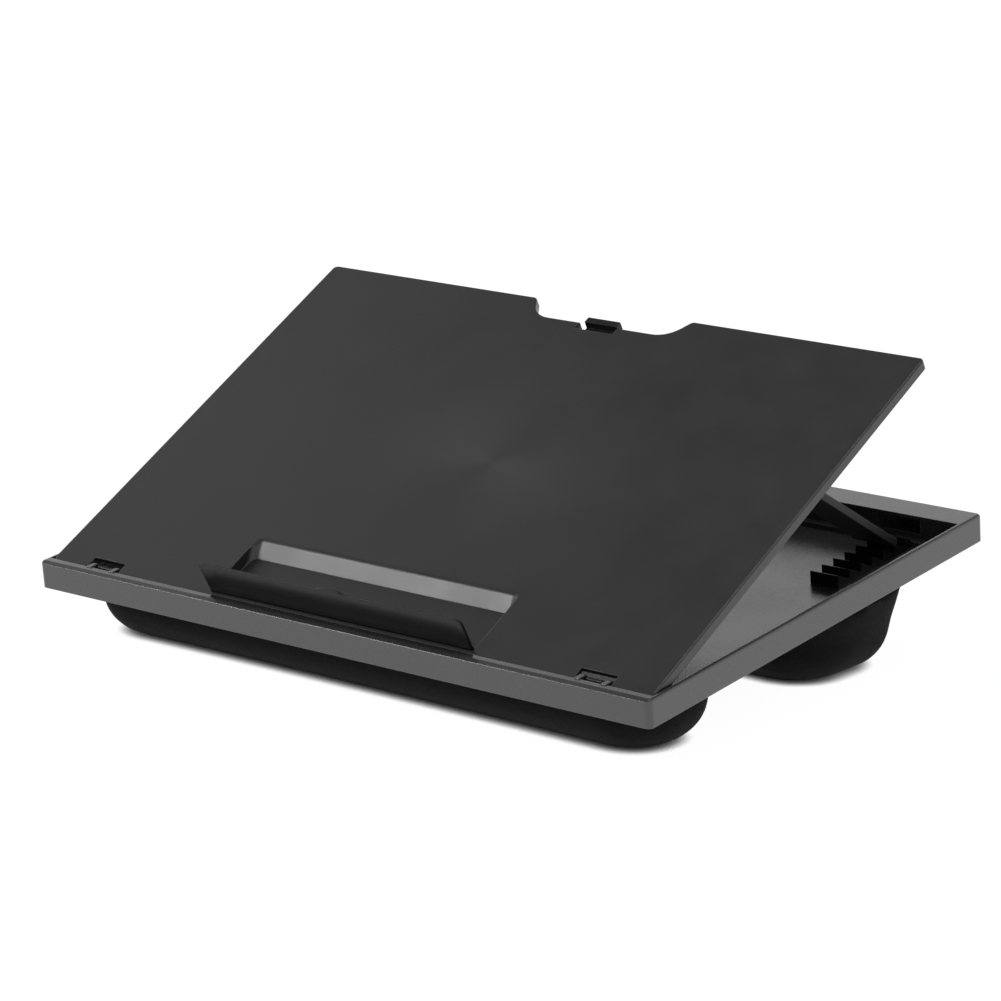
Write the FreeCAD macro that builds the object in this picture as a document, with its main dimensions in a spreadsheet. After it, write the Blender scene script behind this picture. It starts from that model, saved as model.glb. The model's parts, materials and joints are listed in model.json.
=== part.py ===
"""Lap tray on two cushions, with a tilting top panel, a prop, a flip-up ledge and a latch tab.

Every piece is drawn as it lies with the panel shut: x to the right, y from the tray's front face to
the back, z up from the top of the rim. Each is then turned to where it stands in use.
"""
import FreeCAD, Part
import math
import os

import Sketcher

SIZES = {
    # Tray: outside, walls and rims
    "tray_width": 514.0,
    "tray_depth": 380.0,
    "skirt_height": 18.9,
    "tray_wall": 2.5,
    "side_rim": 3.0,
    "front_rim": 8.5,
    "rear_rim": 26.0,
    "tray_corner": 4.0,
    "rim_round": 2.0,
    "front_bevel_depth": 3.4,
    "front_bevel_drop": 1.3,
    # Dish in the tray floor
    "dish_margin": 6.0,
    "dish_depth": 20.4,
    # How the tray stands
    "tray_angle": 6.3,
    "rim_height": 51.2,
    # Top panel
    "panel_side_gap": 3.8,
    "panel_rear_gap": 7.5,
    "panel_plate": 3.0,
    "panel_edge": 6.8,
    "panel_flange": 2.5,
    "panel_corner": 4.0,
    "panel_edge_round": 1.2,
    "panel_front_gap": 1.2,
    "panel_rise": 0.8,
    "panel_tilt": 22.0,
    # Hinge of the panel
    "hinge_setback": 4.0,
    "hinge_drop": 2.5,
    "hinge_inset": 46.2,
    "hinge_notch_width": 28.5,
    "hinge_notch_depth": 10.0,
    "hinge_pin_radius": 1.5,
    "hinge_boss_length": 9.0,
    "hinge_boss_depth": 8.0,
    "lug_inset": 2.0,
    "lug_width": 4.0,
    "lug_radius": 2.4,
    # Rests for the shut panel
    "rest_middle": 88.0,
    "rest_width": 16.0,
    "rest_length": 11.0,
    "rest_gap": 0.3,
    # Ledge and its recess
    "recess_half_width": 111.2,
    "recess_strip": 3.5,
    "recess_length": 54.3,
    "recess_depth": 8.0,
    "recess_slope_run": 10.5,
    "recess_corner": 6.0,
    "recess_wall": 3.0,
    "flap_side_gap": 0.6,
    "flap_axis_setback": 6.0,
    "flap_sink": 0.3,
    "flap_barrel_radius": 2.1,
    "flap_height": 27.5,
    "flap_thickness": 2.2,
    "flap_corner": 3.0,
    "flap_thumb_width": 21.0,
    "flap_thumb_length": 1.4,
    "flap_thumb_place": 3.0,
    "flap_angle": 92.0,
    "ledge_pin_radius": 1.25,
    "ledge_pin_grip": 8.0,
    # Prop and its pivots
    "pivot_rear_setback": 123.2,
    "pivot_depth": 4.1,
    "foot_reach": 10.05,
    "foot_pocket_drop": 12.5,
    "foot_clearance": 0.3,
    "leg_side_gap": 30.2,
    "leg_width": 32.4,
    "leg_thickness": 5.0,
    "prop_barrel_radius": 2.9,
    "prop_foot_radius": 3.0,
    "prop_pin_radius": 2.0,
    "cross_setback": 6.5,
    "cross_depth": 22.0,
    "cross_corner": 8.0,
    "ear_gap": 0.5,
    "ear_width": 4.0,
    "ear_half_length": 4.5,
    "ear_drop": 3.2,
    "foot_notch_gap": 1.0,
    # Racks
    "rack_side_gap": 2.5,
    "rack_width": 22.0,
    "rack_rear_gap": 0.3,
    "rack_pitch": 13.6,
    "rack_tip_flat": 0.8,
    "rack_tip_drop": 11.8,
    "rack_tooth_height": 6.3,
    "rack_tail": 6.0,
    # Finger cutout and latch
    "cutout_width": 134.0,
    "cutout_floor_width": 113.0,
    "cutout_depth": 18.3,
    "cutout_corner": 4.0,
    "cutout_floor_round": 20.0,
    "latch_place": 0.9,
    "latch_half_width": 13.7,
    "latch_left_slit": 4.2,
    "latch_right_slit": 0.9,
    "latch_slit_depth": 7.0,
    "latch_front_gap": 7.2,
    "latch_pivot_setback": 6.0,
    "latch_pivot_drop": 6.0,
    "latch_barrel_radius": 2.6,
    "latch_pin_radius": 1.25,
    "latch_arm_thickness": 2.6,
    "latch_ear_width": 3.0,
    "latch_ear_gap": 0.3,
    "latch_ear_half_length": 3.5,
    "latch_overhang": 5.4,
    "latch_lip_height": 0.6,
    "latch_hook_half_width": 8.0,
    "latch_hook_setback": 7.9,
    "latch_hook_depth": 3.0,
    "latch_hook_drop": 5.0,
    "keeper_gap": 0.6,
    "keeper_depth": 3.0,
    "keeper_drop": 11.0,
    # Screws
    "screw_radius": 1.5,
    "screw_head_radius": 3.0,
    "screw_head_height": 1.6,
    "rack_screw_length": 7.0,
    "cushion_screw_length": 7.5,
    "front_screw_spread": 150.0,
    "rear_screw_spread": 60.0,
    "front_screw_row": 14.0,
    "rear_screw_row": 25.0,
    # Cushions
    "front_cushion_middle": 66.5,
    "front_cushion_side_gap": 17.0,
    "front_cushion_half_depth": 46.5,
    "front_cushion_corner": 44.0,
    "front_cushion_edge": 27.0,
    "rear_cushion_inset": 116.6,
    "rear_cushion_side_gap": 16.0,
    "rear_cushion_half_depth": 62.5,
    "rear_cushion_corner": 52.0,
    "rear_cushion_edge": 30.0,
    "cushion_draw": 3.0,
    "front_cushion_belly": 1.5,
    "rear_cushion_flare": 13.5,
    "cushion_cloth": 1.2,
    "cushion_seat_gap": 0.1,
    "foam_gap": 0.2,
    "board_thickness": 4.0,
    "board_inset": 14.0,
    "board_corner": 34.0,
    # Fits
    "running_clearance": 0.05,
    "press_clearance": 0.02,
    "cut_overrun": 20.0,
}
RACK_TEETH = 7
RACK_SCREW_TEETH = (1, 5)
RACK_SCREW_SHARE = 0.2
EDGE_STEPS = 4
SIDE_STEPS = 3
SAME_PLACE = 1e-4

doc = FreeCAD.newDocument("lap_tray")
sheet = doc.addObject("Spreadsheet::Sheet", "sizes")
for row, (alias, number) in enumerate(SIZES.items(), start=1):
    sheet.set(f"A{row}", alias)
    sheet.set(f"B{row}", str(number))
    sheet.setAlias(f"B{row}", alias)
doc.recompute()


class Size:
    """A number that also remembers the sheet expression it comes from."""

    def __init__(self, value, text):
        self.value = float(value)
        self.text = text

    def __add__(self, other):
        other = as_size(other)
        return Size(self.value + other.value, f"({self.text} + {other.text})")

    def __sub__(self, other):
        other = as_size(other)
        return Size(self.value - other.value, f"({self.text} - {other.text})")

    def __mul__(self, other):
        other = as_size(other)
        return Size(self.value * other.value, f"({self.text} * {other.text})")

    def __truediv__(self, other):
        other = as_size(other)
        return Size(self.value / other.value, f"({self.text} / {other.text})")

    def __neg__(self):
        return Size(-self.value, f"(0 - {self.text})")

    def __radd__(self, other):
        return as_size(other) + self

    def __rsub__(self, other):
        return as_size(other) - self

    def __rmul__(self, other):
        return as_size(other) * self

    def __float__(self):
        return self.value


def as_size(number):
    """Wraps a plain number, so that it joins in sums with sheet sizes."""
    return number if isinstance(number, Size) else Size(number, repr(number))


class Sheet:
    """Gives each cell of the sheet by its alias, as a Size."""

    def __getattr__(self, alias):
        return Size(sheet.get(alias), f"sizes.{alias}")


S = Sheet()
ALONG_X = FreeCAD.Rotation(FreeCAD.Vector(0, 1, 0), 90)


class Piece:
    """A sub-part made as a body, by adding and cutting blocks, rods, cones and prisms."""

    def __init__(self, label):
        self.label = label
        self.body = doc.addObject("PartDesign::Body", label)
        self.body.Label = label

    def feature(self, kind, sizes, place, rotation=None):
        """Adds one feature, with its sizes and its corner or centre bound to the sheet."""
        made = self.body.newObject(kind, f"{self.label}_feature")
        for name, size in sizes.items():
            made.setExpression(name, as_size(size).text)
        if rotation is not None:
            made.Placement = FreeCAD.Placement(FreeCAD.Vector(), rotation)
        for axis, size in zip("xyz", place):
            made.setExpression(f"Placement.Base.{axis}", as_size(size).text)
        return made

    def block(self, low, high, cut=False):
        """A block between two corners."""
        kind = "PartDesign::SubtractiveBox" if cut else "PartDesign::AdditiveBox"
        spans = [as_size(b) - as_size(a) for a, b in zip(low, high)]
        self.feature(kind, dict(zip(("Length", "Width", "Height"), spans)), low)

    def rod(self, low_x, high_x, y, z, radius, cut=False):
        """A rod or bore that runs along x."""
        kind = "PartDesign::SubtractiveCylinder" if cut else "PartDesign::AdditiveCylinder"
        sizes = {"Radius": radius, "Height": as_size(high_x) - as_size(low_x)}
        self.feature(kind, sizes, (low_x, y, z), ALONG_X)

    def post(self, x, y, low_z, high_z, radius, cut=False):
        """A post or hole that runs along z."""
        kind = "PartDesign::SubtractiveCylinder" if cut else "PartDesign::AdditiveCylinder"
        self.feature(kind, {"Radius": radius, "Height": as_size(high_z) - as_size(low_z)}, (x, y, low_z))

    def cone(self, x, y, low_z, high_z, low_radius, high_radius, cut=False):
        """A countersink or countersunk head, that runs along z."""
        kind = "PartDesign::SubtractiveCone" if cut else "PartDesign::AdditiveCone"
        height = as_size(high_z) - as_size(low_z)
        self.feature(kind, {"Radius1": low_radius, "Radius2": high_radius, "Height": height}, (x, y, low_z))

    def prism(self, plane, points, far, length, cut=False):
        """A straight-sided outline on an origin plane, carried back from far by length."""
        sketch = self.body.newObject("Sketcher::SketchObject", f"{self.label}_outline")
        origin = [each for each in self.body.Origin.OriginFeatures if each.Role == plane][0]
        sketch.AttachmentSupport = [(origin, "")]
        sketch.MapMode = "FlatFace"
        sketch.setExpression("AttachmentOffset.Base.z", as_size(far).text)
        spots = [FreeCAD.Vector(float(a), float(b), 0) for a, b in points]
        for start, end in zip(spots, spots[1:] + spots[:1]):
            sketch.addGeometry(Part.LineSegment(start, end), False)
        for index, (across, up) in enumerate(points):
            follower = (index + 1) % len(points)
            sketch.addConstraint(Sketcher.Constraint("Coincident", index, 2, follower, 1))
            for kind, size in (("DistanceX", across), ("DistanceY", up)):
                number = sketch.addConstraint(
                    Sketcher.Constraint(kind, -1, 1, index, 1, float(size)))
                sketch.setExpression(f"Constraints[{number}]", as_size(size).text)
        kind = "PartDesign::Pocket" if cut else "PartDesign::Pad"
        made = self.body.newObject(kind, f"{self.label}_prism")
        made.Profile = sketch
        made.setExpression("Length", as_size(length).text)
        made.Reversed = not cut

    def round(self, radius, chosen):
        """Rounds the edges of the body so far for which chosen(edge) is true."""
        doc.recompute()
        tip = self.body.Tip
        names = [f"Edge{i}" for i, edge in enumerate(tip.Shape.Edges, start=1) if chosen(edge)]
        made = self.body.newObject("PartDesign::Fillet", f"{self.label}_round")
        made.Base = (tip, names)
        made.setExpression("Radius", as_size(radius).text)

    def stand(self, pose):
        """Turns the finished body to where it stands in use."""
        doc.recompute()
        self.body.Placement = pose


def near(a, b):
    """True where two lengths are the same."""
    return abs(float(a) - float(b)) < SAME_PLACE


def runs_along(edge, direction):
    """True where a straight edge lies along an axis, given as 0, 1 or 2."""
    ends = [vertex.Point for vertex in edge.Vertexes]
    if len(ends) != 2 or not isinstance(edge.Curve, Part.Line):
        return False
    step = ends[1] - ends[0]
    return all(near(step[axis], 0) for axis in range(3) if axis != direction)


def at(edge, **places):
    """True where all of an edge's ends have the given x, y or z, taken without its sign for x."""
    points = [vertex.Point for vertex in edge.Vertexes]
    for axis, place in places.items():
        got = [abs(p.x) if axis == "x" else getattr(p, axis) for p in points]
        if not all(near(number, place) for number in got):
            return False
    return True


# Places that several pieces share, with the panel shut
tray_half = S.tray_width / 2
floor_top = S.tray_wall - S.skirt_height
dish_top = -S.dish_depth
dish_under = dish_top - S.tray_wall
recess_rear = S.tray_depth - S.rear_rim
panel_half = tray_half - S.panel_side_gap
panel_front = S.front_rim + S.panel_front_gap
panel_rear = recess_rear - S.panel_rear_gap
panel_under = S.panel_rise - S.panel_plate
panel_foot = S.panel_rise - S.panel_edge
root = S.panel_rise - S.panel_plate / 2
hinge_y = panel_front + S.hinge_setback
hinge_z = S.panel_rise - S.hinge_drop
notch_half = S.hinge_notch_width / 2
hinge_middle = panel_half - S.hinge_inset
notch_inner = hinge_middle - notch_half
notch_outer = hinge_middle + notch_half
hinge_pin_inner = notch_inner - S.hinge_boss_length
hinge_pin_outer = notch_outer + S.hinge_boss_length
tub_half = S.recess_half_width + S.recess_wall
ledge_pin_inner = S.recess_half_width - S.ledge_pin_grip
flap_y = panel_front + S.flap_axis_setback
flap_z = S.panel_rise - S.flap_sink - S.flap_barrel_radius
pivot_y = panel_rear - S.pivot_rear_setback
pivot_z = hinge_z - S.pivot_depth
foot_y = recess_rear + S.foot_reach
leg_outer = panel_half - S.leg_side_gap
leg_inner = leg_outer - S.leg_width
ear_outer = leg_outer + S.ear_gap
ear_inner = leg_inner - S.ear_gap
prop_pin_inner = ear_inner - S.ear_width
prop_pin_outer = ear_outer + S.ear_width
rack_outer = leg_outer - S.rack_side_gap
rack_inner = rack_outer - S.rack_width
rack_middle = rack_outer - S.rack_width / 2
dish_rear = recess_rear - S.dish_margin
rack_run = S.rack_pitch * (RACK_TEETH - 1) + S.rack_tip_flat + S.rack_tail
rack_first_tip = dish_rear - S.rack_rear_gap - rack_run
cutout_floor = panel_rear - S.cutout_depth
slit_front = cutout_floor - S.latch_slit_depth
latch_low = S.latch_place - S.latch_half_width
latch_high = S.latch_place + S.latch_half_width
slit_low = latch_low - S.latch_left_slit
slit_high = latch_high + S.latch_right_slit
latch_y = slit_front - S.latch_pivot_setback
latch_z = S.panel_rise - S.latch_pivot_drop
latch_ears = (slit_low - S.latch_ear_gap - S.latch_ear_width, slit_high + S.latch_ear_gap)
latch_pin_high = latch_ears[1] + S.latch_ear_width
latch_rear = cutout_floor + S.latch_overhang
hook_rear = latch_rear - S.latch_hook_setback
arm_half = S.latch_arm_thickness / 2
over = S.cut_overrun
screw_hole = S.screw_radius + S.running_clearance
SIDES = {"left": -1, "right": 1}

# Poses of the five bodies: the row's origin is under the middle of the tray, on the floor
lean = math.radians(float(S.tray_angle))
rear_reach = float(S.tray_depth) * math.cos(lean) + float(S.skirt_height) * math.sin(lean)
row_shift = FreeCAD.Vector(0, -rear_reach / 2, float(S.rim_height))
X_AXIS = FreeCAD.Vector(1, 0, 0)


def turned(angle, y, z):
    """A turn about a line along x."""
    middle = FreeCAD.Vector(0, float(y), float(z))
    return FreeCAD.Placement(FreeCAD.Vector(), FreeCAD.Rotation(X_AXIS, float(angle)), middle)


# The prop's swing puts its foot just over the tips of the rack when the panel is up
tilt = math.radians(float(S.panel_tilt))
pivot_height = (float(hinge_z) + float(pivot_y - hinge_y) * math.sin(tilt)
                + float(pivot_z - hinge_z) * math.cos(tilt))
foot_height = float(S.foot_clearance + S.prop_foot_radius - S.rack_tip_drop)
prop_slope = math.asin((pivot_height - foot_height) / float(foot_y - pivot_y))
prop_swing = float(S.panel_tilt) + math.degrees(prop_slope)

tray_pose = FreeCAD.Placement(row_shift, FreeCAD.Rotation(X_AXIS, float(S.tray_angle)))
panel_pose = tray_pose * turned(S.panel_tilt, hinge_y, hinge_z)
flap_pose = panel_pose * turned(S.flap_angle, flap_y, flap_z)
prop_pose = panel_pose * turned(-prop_swing, pivot_y, pivot_z)


def ordered(sign, a, b):
    """Two places across the middle, in rising order on either side."""
    return (a * sign, b * sign) if sign > 0 else (b * sign, a * sign)


def rack_tip(tooth):
    """Where the upright front face of a rack tooth stands."""
    return rack_first_tip + S.rack_pitch * tooth


def rack_screw_places():
    """Screws stand behind the tips of two teeth of each rack."""
    for sign in SIDES.values():
        for tooth in RACK_SCREW_TEETH:
            yield rack_middle * sign, rack_tip(tooth) + S.rack_pitch * RACK_SCREW_SHARE


# Cushions: where each is, seen on the tray's underside
CUSHIONS = {
    "front": (S.front_cushion_middle, tray_half - S.front_cushion_side_gap, S.front_cushion_half_depth,
              S.front_cushion_corner, S.front_cushion_edge, S.front_cushion_belly,
              S.front_screw_spread, S.front_screw_row),
    "rear": (S.tray_depth - S.rear_cushion_inset, tray_half - S.rear_cushion_side_gap,
             S.rear_cushion_half_depth, S.rear_cushion_corner, S.rear_cushion_edge, -S.rear_cushion_flare,
             S.rear_screw_spread, S.rear_screw_row),
}


def board_middle(middle):
    """The middle of a cushion, measured along the leaning tray at its underside."""
    return (middle + dish_under * math.sin(lean)) / math.cos(lean)


def cushion_screw_places(name):
    """Four screws hold each cushion's board."""
    middle, _, _, _, _, _, spread, row = CUSHIONS[name]
    for sign in SIDES.values():
        for side in SIDES.values():
            yield spread * sign, board_middle(middle) + row * side


# Tray shell: a moulded tray with a hollow skirt, hinge lugs, rests for the panel, a latch keeper,
# and pockets in its rear wall that take the prop's feet when it is shut
tray = Piece("tray_shell")
tray.block((-tray_half, 0, -S.skirt_height), (tray_half, S.tray_depth, 0))
tray.round(S.tray_corner, lambda edge: runs_along(edge, 2))
tray.round(S.rim_round, lambda edge: at(edge, z=0))
tray.prism("YZ_Plane", [(-S.front_bevel_depth, -S.front_bevel_drop * 2),
                        (S.front_bevel_depth * 2, S.front_bevel_drop),
                        (S.front_bevel_depth * 2, over), (-S.front_bevel_depth, over)],
           tray_half + over, S.tray_width + over * 2, cut=True)
dish_half = tray_half - S.side_rim - S.dish_margin
dish_front = S.front_rim + S.dish_margin
tray.block((-dish_half - S.tray_wall, dish_front - S.tray_wall, dish_under),
           (dish_half + S.tray_wall, dish_rear + S.tray_wall, floor_top))
tray.block((S.side_rim - tray_half, S.front_rim, floor_top),
           (tray_half - S.side_rim, recess_rear, over), cut=True)
tray.block((-dish_half, dish_front, dish_top), (dish_half, dish_rear, over), cut=True)
for channel_front, channel_rear in ((S.tray_wall, S.front_rim - S.tray_wall),
                                    (recess_rear + S.tray_wall, S.tray_depth - S.tray_wall)):
    tray.block((S.tray_wall - tray_half, channel_front, -S.skirt_height - over),
               (tray_half - S.tray_wall, channel_rear, -S.tray_wall), cut=True)
pocket_rear = foot_y + S.prop_foot_radius + S.foot_notch_gap
for sign in SIDES.values():
    for end in SIDES.values():
        lug_far = hinge_middle * sign + (notch_half - S.lug_inset) * end
        lug_near = lug_far - S.lug_width * end
        lug_low, lug_high = (lug_near, lug_far) if end > 0 else (lug_far, lug_near)
        tray.block((lug_low, S.front_rim - S.tray_wall / 2, floor_top - S.tray_wall / 2),
                   (lug_high, hinge_y + S.lug_radius, hinge_z))
        tray.block((lug_low, S.front_rim - S.tray_wall / 2, hinge_z - S.lug_radius),
                   (lug_high, hinge_y, hinge_z + S.lug_radius))
        tray.rod(lug_low, lug_high, hinge_y, hinge_z, S.lug_radius)
        tray.rod(lug_low, lug_high, hinge_y, hinge_z,
                 S.hinge_pin_radius + S.running_clearance, cut=True)
    rest_low = S.rest_middle * sign - S.rest_width / 2
    rest_high = rest_low + S.rest_width
    tray.block((rest_low, recess_rear - S.rest_length, floor_top - S.tray_wall / 2),
               (rest_high, recess_rear + S.tray_wall / 2, panel_foot - S.rest_gap))
    low_x, high_x = ordered(sign, leg_inner - S.foot_notch_gap, leg_outer + S.foot_notch_gap)
    tray.block((low_x - S.tray_wall, recess_rear + S.tray_wall / 2, -S.foot_pocket_drop - S.tray_wall),
               (high_x + S.tray_wall, pocket_rear + S.tray_wall, -S.tray_wall / 2))
    tray.block((low_x, recess_rear - S.tray_wall, -S.foot_pocket_drop),
               (high_x, pocket_rear, -S.tray_wall), cut=True)
keeper_front = hook_rear + S.keeper_gap
tray.block((latch_low, keeper_front, dish_top - S.tray_wall / 2),
           (latch_high, keeper_front + S.keeper_depth, -S.keeper_drop))
for x, y in rack_screw_places():
    tray.post(x, y, dish_under - over, dish_top + S.tray_wall, screw_hole, cut=True)
    tray.cone(x, y, dish_under, dish_under + S.screw_head_height,
              S.screw_head_radius + S.running_clearance, screw_hole, cut=True)
for name in CUSHIONS:
    for x, y in cushion_screw_places(name):
        tray.post(x, y, dish_under - over, dish_top + S.tray_wall, screw_hole, cut=True)
tray.stand(tray_pose)

# Racks: sawtooth strips on the dish floor, with upright front faces that the prop's feet push against
racks = []
for side, sign in SIDES.items():
    rack = Piece(f"rack_{side}")
    tip_z = -S.rack_tip_drop
    gum_z = tip_z - S.rack_tooth_height
    slope_run = S.rack_pitch - S.rack_tip_flat
    saw = [(rack_tip(0), dish_top)]
    for tooth in range(RACK_TEETH):
        saw.append((rack_tip(tooth), tip_z))
        saw.append((rack_tip(tooth) + S.rack_tip_flat, tip_z))
        if tooth < RACK_TEETH - 1:
            saw.append((rack_tip(tooth + 1), gum_z))
    tail_z = tip_z - S.rack_tooth_height * S.rack_tail / slope_run
    tail_y = rack_tip(RACK_TEETH - 1) + S.rack_tip_flat + S.rack_tail
    saw += [(tail_y, tail_z), (tail_y, dish_top)]
    _, rack_high = ordered(sign, rack_inner, rack_outer)
    rack.prism("YZ_Plane", saw, rack_high, S.rack_width)
    hole_top = dish_under + S.rack_screw_length + S.running_clearance
    for x, y in rack_screw_places():
        if float(x) * sign > 0:
            rack.post(x, y, dish_top - over, hole_top, screw_hole, cut=True)
    rack.stand(tray_pose)
    racks.append(rack)

# Top panel: a moulded plate with a flange round its edge and its cutout, a recess for the ledge,
# and lugs for what hangs under it
panel = Piece("top_panel")
panel.block((-panel_half, panel_front, panel_foot), (panel_half, panel_rear, S.panel_rise))
panel.round(S.panel_corner, lambda edge: runs_along(edge, 2))
panel.block((S.panel_flange - panel_half, panel_front + S.panel_flange, panel_foot - over),
            (panel_half - S.panel_flange, panel_rear - S.panel_flange, panel_under), cut=True)
mouth_half = S.cutout_width / 2
sill_half = S.cutout_floor_width / 2
wall_rear = panel_rear - S.panel_flange / 2
wall_front = cutout_floor - S.panel_flange
panel.prism("XY_Plane", [(-mouth_half - S.panel_flange, wall_rear), (-sill_half - S.panel_flange, wall_front),
                         (sill_half + S.panel_flange, wall_front), (mouth_half + S.panel_flange, wall_rear)],
            root, root - panel_foot)
panel.prism("XY_Plane", [(-mouth_half, panel_rear + over), (-mouth_half, panel_rear),
                         (-sill_half, cutout_floor), (sill_half, cutout_floor),
                         (mouth_half, panel_rear), (mouth_half, panel_rear + over)],
            S.panel_rise + over, S.panel_edge + over * 2, cut=True)
panel.round(S.cutout_corner,
            lambda edge: runs_along(edge, 2) and at(edge, x=mouth_half, y=panel_rear))
panel.round(S.cutout_floor_round,
            lambda edge: runs_along(edge, 2) and at(edge, x=sill_half, y=cutout_floor))
panel.round(S.panel_edge_round, lambda edge: at(edge, z=S.panel_rise))
recess_front = panel_front + S.recess_strip
recess_back = recess_front + S.recess_length
recess_floor = S.panel_rise - S.recess_depth
panel.block((-tub_half, panel_front + S.panel_flange / 2, recess_floor - S.recess_wall),
            (tub_half, recess_back, root))
hinge_boss_low = panel_front + S.panel_flange / 2
for sign in SIDES.values():
    low_x, high_x = ordered(sign, hinge_pin_inner, hinge_pin_outer)
    panel.block((low_x, hinge_boss_low, panel_foot),
                (high_x, panel_front + S.hinge_boss_depth, root))
    for near_x, far_x in ((prop_pin_inner, ear_inner), (ear_outer, prop_pin_outer)):
        low_x, high_x = ordered(sign, near_x, far_x)
        panel.block((low_x, pivot_y - S.ear_half_length, pivot_z - S.ear_drop),
                    (high_x, pivot_y + S.ear_half_length, root))
for low_x in latch_ears:
    panel.block((low_x, latch_y - S.latch_ear_half_length, latch_z - S.latch_ear_half_length),
                (low_x + S.latch_ear_width, latch_y + S.latch_ear_half_length, root))
for low_x in (slit_low - S.panel_flange, slit_high):
    panel.block((low_x, slit_front, panel_foot), (low_x + S.panel_flange, cutout_floor, root))
panel.prism("YZ_Plane", [(recess_front, S.panel_rise + over), (recess_front, recess_floor),
                         (recess_back - S.recess_slope_run, recess_floor),
                         (recess_back, S.panel_rise), (recess_back, S.panel_rise + over)],
            S.recess_half_width, S.recess_half_width * 2, cut=True)
panel.round(S.recess_corner, lambda edge: at(edge, x=S.recess_half_width) and not runs_along(edge, 1)
            and near(max(v.Point.y for v in edge.Vertexes), recess_back))
for sign in SIDES.values():
    low_x, high_x = ordered(sign, notch_inner, notch_outer)
    panel.block((low_x, panel_front - over, panel_foot - over),
                (high_x, panel_front + S.hinge_notch_depth, S.panel_rise + over), cut=True)
    low_x, high_x = ordered(sign, hinge_pin_inner, hinge_pin_outer)
    panel.rod(low_x, high_x, hinge_y, hinge_z, S.hinge_pin_radius + S.press_clearance, cut=True)
    low_x, high_x = ordered(sign, prop_pin_inner, prop_pin_outer)
    panel.rod(low_x, high_x, pivot_y, pivot_z, S.prop_pin_radius + S.press_clearance, cut=True)
    low_x, high_x = ordered(sign, ledge_pin_inner, tub_half)
    panel.rod(low_x, high_x, flap_y, flap_z, S.ledge_pin_radius + S.press_clearance, cut=True)
    low_x, high_x = ordered(sign, leg_inner - S.foot_notch_gap, leg_outer + S.foot_notch_gap)
    panel.block((low_x, panel_rear - S.panel_flange * 2, panel_foot - over),
                (high_x, panel_rear + over, panel_under), cut=True)
panel.rod(latch_ears[0], latch_pin_high, latch_y, latch_z,
          S.latch_pin_radius + S.press_clearance, cut=True)
panel.block((slit_low, slit_front, panel_under - over),
            (slit_high, panel_rear, S.panel_rise + over), cut=True)
panel.stand(panel_pose)

# Hinge pins: steel rods pressed into the panel, that turn in the tray's lugs
pins = []
for side, sign in SIDES.items():
    pin = Piece(f"hinge_pin_{side}")
    low_x, high_x = ordered(sign, hinge_pin_inner, hinge_pin_outer)
    pin.rod(low_x, high_x, hinge_y, hinge_z, S.hinge_pin_radius)
    pins.append(pin)
    pin = Piece(f"ledge_pin_{side}")
    low_x, high_x = ordered(sign, ledge_pin_inner, tub_half)
    pin.rod(low_x, high_x, flap_y, flap_z, S.ledge_pin_radius)
    pins.append(pin)
    pin = Piece(f"prop_pin_{side}")
    low_x, high_x = ordered(sign, prop_pin_inner, prop_pin_outer)
    pin.rod(low_x, high_x, pivot_y, pivot_z, S.prop_pin_radius)
    pins.append(pin)
pin = Piece("latch_pin")
pin.rod(latch_ears[0], latch_pin_high, latch_y, latch_z, S.latch_pin_radius)
pins.append(pin)
for pin in pins:
    pin.stand(panel_pose)

# Ledge flap: a plate on a barrel, with a thumb bump on its free edge
flap = Piece("ledge_flap")
flap_half = S.recess_half_width - S.flap_side_gap
flap_top = S.panel_rise - S.flap_sink
flap_end = flap_y + S.flap_height
flap.block((-flap_half, flap_y, flap_top - S.flap_thickness), (flap_half, flap_end, flap_top))
flap.round(S.flap_corner, lambda edge: runs_along(edge, 2) and at(edge, y=flap_end))
flap.rod(-flap_half, flap_half, flap_y, flap_z, S.flap_barrel_radius)
thumb_low = S.flap_thumb_place - S.flap_thumb_width / 2
flap.block((thumb_low, flap_end - S.flap_thumb_length, flap_top - S.flap_thickness),
           (thumb_low + S.flap_thumb_width, flap_end + S.flap_thumb_length, flap_top))
flap_bore = S.ledge_pin_radius + S.running_clearance
for sign in SIDES.values():
    low_x, high_x = ordered(sign, ledge_pin_inner - S.flap_side_gap, flap_half)
    flap.rod(low_x, high_x, flap_y, flap_z, flap_bore, cut=True)
flap.stand(flap_pose)

# Prop: two wide legs and a cross strap in one moulding, with a barrel at each pivot and a round foot
prop = Piece("prop_frame")
leg_half = S.leg_thickness / 2
cross_front = pivot_y + S.cross_setback
cross_rear = cross_front + S.cross_depth
prop.block((-leg_outer, cross_front, pivot_z - leg_half), (leg_outer, cross_rear, pivot_z + leg_half))
for sign in SIDES.values():
    low_x, high_x = ordered(sign, leg_inner, leg_outer)
    prop.block((low_x, pivot_y, pivot_z - leg_half), (high_x, foot_y, pivot_z + leg_half))
prop.round(S.cross_corner, lambda edge: runs_along(edge, 2) and at(edge, x=leg_inner, y=cross_rear))
for sign in SIDES.values():
    low_x, high_x = ordered(sign, leg_inner, leg_outer)
    prop.rod(low_x, high_x, pivot_y, pivot_z, S.prop_barrel_radius)
    prop.rod(low_x, high_x, foot_y, pivot_z, S.prop_foot_radius)
    prop.rod(low_x, high_x, pivot_y, pivot_z, S.prop_pin_radius + S.running_clearance, cut=True)
prop.stand(prop_pose)

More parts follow.
